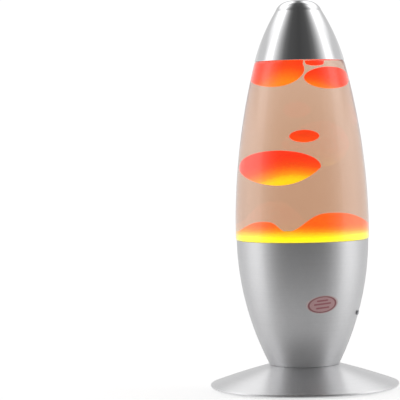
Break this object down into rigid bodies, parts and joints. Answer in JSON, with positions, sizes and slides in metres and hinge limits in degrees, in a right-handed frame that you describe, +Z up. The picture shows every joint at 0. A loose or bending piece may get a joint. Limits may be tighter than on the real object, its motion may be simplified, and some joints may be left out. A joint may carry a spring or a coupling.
{
  "type": "lava lamp",
  "caption": "Table lava lamp: a liquid-filled glass bottle with rising wax, seated in a flared spun-metal stand over a bulb, under a lift-off cap.",
  "frame": {"origin": "centre of the footprint, on the plane the rubber feet stand on", "axes": "+Z up along the lamp's axis; -Y is the front with the oval label; +X to its right"},
  "size_m": [0.2, 0.2, 0.41],
  "materials": {
    "satin_aluminium": "satin spun aluminium",
    "bottle_glass": "clear soda-lime glass",
    "bulb_glass": "clear glass",
    "lamp_liquid": "clear amber liquid",
    "orange_wax": "soft translucent wax",
    "zinc_steel": "bright zinc plate",
    "gold_crown": "gold lacquered tinplate",
    "clear_liner": "moulded liner",
    "brass": "drawn brass",
    "solder": "tinned",
    "tungsten": "drawn wire",
    "black_resin": "moulded phenolic",
    "white_ceramic": "glazed steatite",
    "black_rubber": "moulded rubber",
    "clear_silicone": "translucent silicone",
    "label_paper": "printed paper sticker"
  },
  "bodies": {
    "stand": {"base_foot": "satin_aluminium", "bottom_cover": "zinc_steel", "rubber_foot_1": "black_rubber", "rubber_foot_2": "black_rubber", "rubber_foot_3": "black_rubber", "rubber_foot_4": "black_rubber", "lower_washer": "zinc_steel", "lower_nut": "zinc_steel", "threaded_tube": "zinc_steel", "upper_lock_washer": "zinc_steel", "upper_nut": "zinc_steel", "body_shell": "satin_aluminium", "label_sticker": "label_paper", "cord_grommet": "black_rubber", "side_screws": "zinc_steel", "holder_bracket": "zinc_steel", "holder_base": "black_resin", "holder_insulator": "white_ceramic", "holder_sleeve": "black_resin", "holder_screw_shell": "brass", "holder_contact": "brass", "bottle_seat_ring": "zinc_steel", "seat_gasket": "clear_silicone"},
    "bottle": {"bottle": "bottle_glass", "bottle_neck": "bottle_glass", "bottle_closure": "gold_crown", "closure_seal": "clear_liner", "liquid": "lamp_liquid", "wax_pool": "orange_wax", "wax_film": "orange_wax", "heat_coil": "zinc_steel"},
    "cap": {"top_cap": "satin_aluminium"},
    "bulb_tip": {"bulb_contact": "solder"},
    "bulb": {"bulb_envelope": "bulb_glass", "bulb_screw_shell": "brass", "bulb_insulator": "black_resin", "bulb_stem": "bulb_glass", "bulb_filament": "tungsten"},
    "wax_upper_left": {"wax_blob_upper_left": "orange_wax"},
    "wax_upper_right": {"wax_blob_upper_right": "orange_wax"},
    "wax_small": {"wax_blob_small": "orange_wax"},
    "wax_large": {"wax_blob_large": "orange_wax"}
  },
  "joints": [
    {"name": "bottle_lift", "type": "slide", "parent": "stand", "child": "bottle", "axis": [0, 0, 1], "range_m": [0, 0.06]},
    {"name": "cap_lift", "type": "slide", "parent": "bottle", "child": "cap", "axis": [0, 0, 1], "range_m": [0, 0.075]},
    {"name": "bulb_rise", "type": "slide", "parent": "stand", "child": "bulb_tip", "axis": [0, 0, 1], "range_m": [0, 0.00998]},
    {"name": "bulb_unscrew", "type": "hinge", "parent": "bulb_tip", "child": "bulb", "pos_m": [0, 0, 0.05], "axis": [0, 0, 1], "range_deg": [0, 1260]},
    {"name": "upper_left_wax_drift", "type": "slide", "parent": "bottle", "child": "wax_upper_left", "axis": [0, 0, 1], "range_m": [-0.01, 0]},
    {"name": "upper_right_wax_drift", "type": "slide", "parent": "bottle", "child": "wax_upper_right", "axis": [0, 0, 1], "range_m": [-0.01, 0]},
    {"name": "small_wax_drift", "type": "slide", "parent": "bottle", "child": "wax_small", "axis": [0, 0, 1], "range_m": [-0.003, 0.03]},
    {"name": "large_wax_drift", "type": "slide", "parent": "bottle", "child": "wax_large", "axis": [0, 0, 1], "range_m": [-0.026, 0.004], "deforming": ["liquid"]}
  ],
  "couplings": [
    {"joint": "bulb_rise", "follows": "bulb_unscrew", "m_per_rad": 0.00044914}
  ]
}
